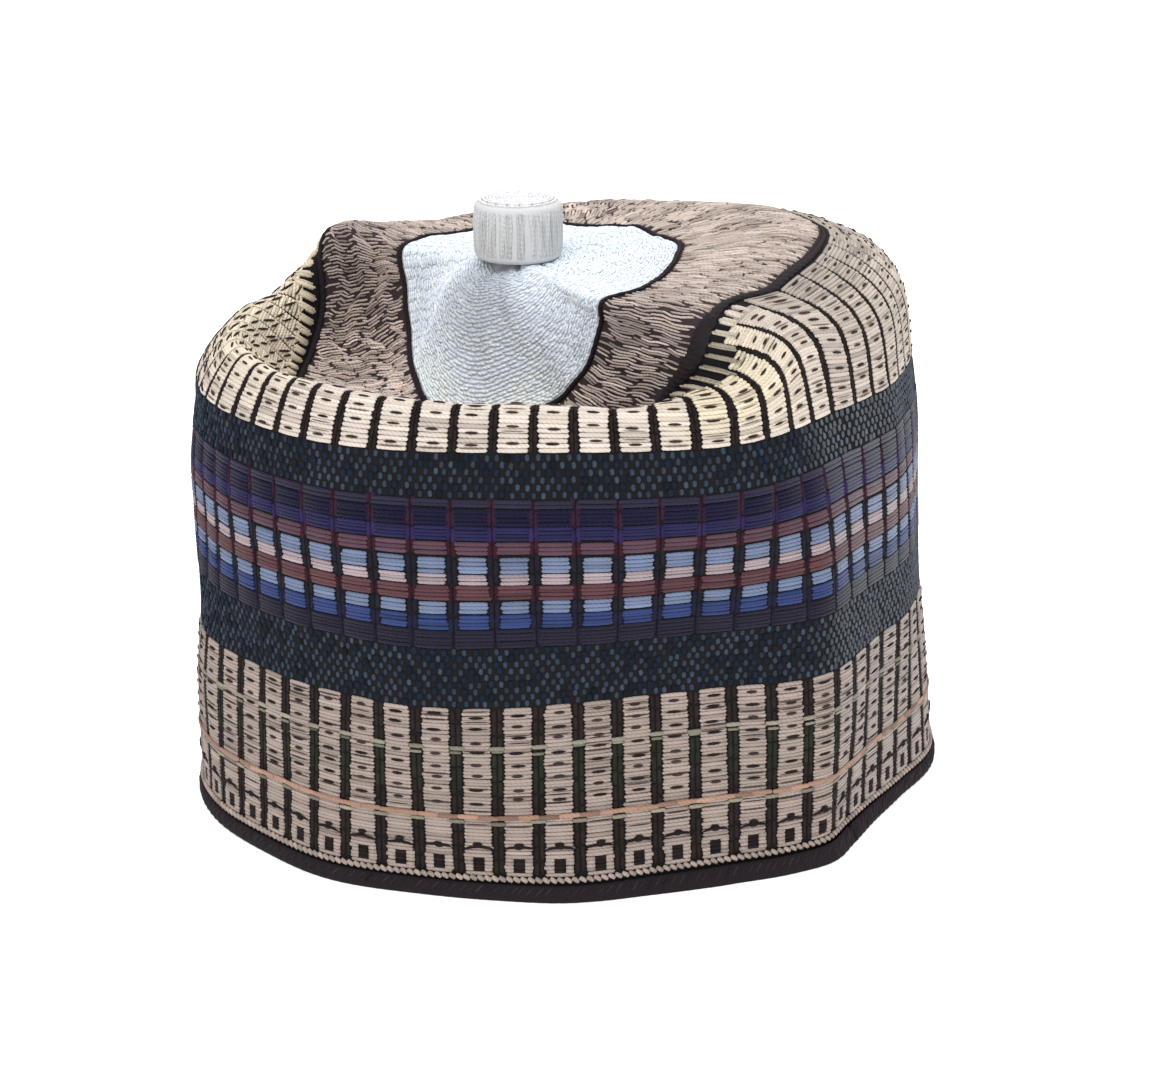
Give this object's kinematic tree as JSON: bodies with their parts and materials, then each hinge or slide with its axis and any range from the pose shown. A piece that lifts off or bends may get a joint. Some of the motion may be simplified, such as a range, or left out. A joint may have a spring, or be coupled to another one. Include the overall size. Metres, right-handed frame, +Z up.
{
  "type": "hausa cap",
  "caption": "Soft embroidered cap standing on its hem: a tall straight wall, a crown folded in on itself across a slanting line, and a round thread-wrapped button on top.",
  "frame": {"origin": "middle of the cap's plan on the floor plane, under the hem", "axes": "+X to the cap's right as it is seen from the front, -Y towards the viewer, +Z up"},
  "size_m": [0.2012, 0.1826, 0.1586],
  "materials": {
    "wall_cloth": "matt embroidered cloth",
    "crown_cloth": "matt embroidered cloth",
    "medallion_cloth": "slightly glossy stitched thread",
    "dark_cord": "matt thread",
    "dark_binding": "matt folded tape",
    "button_thread": "slightly glossy wrapped thread"
  },
  "bodies": {
    "root": {"side_wall": "wall_cloth", "crown_panel": "crown_cloth", "centre_medallion": "medallion_cloth", "crown_seam_cord": "dark_cord", "medallion_cord": "dark_cord", "hem_binding": "dark_binding", "top_button": "button_thread"}
  },
  "joints": []
}
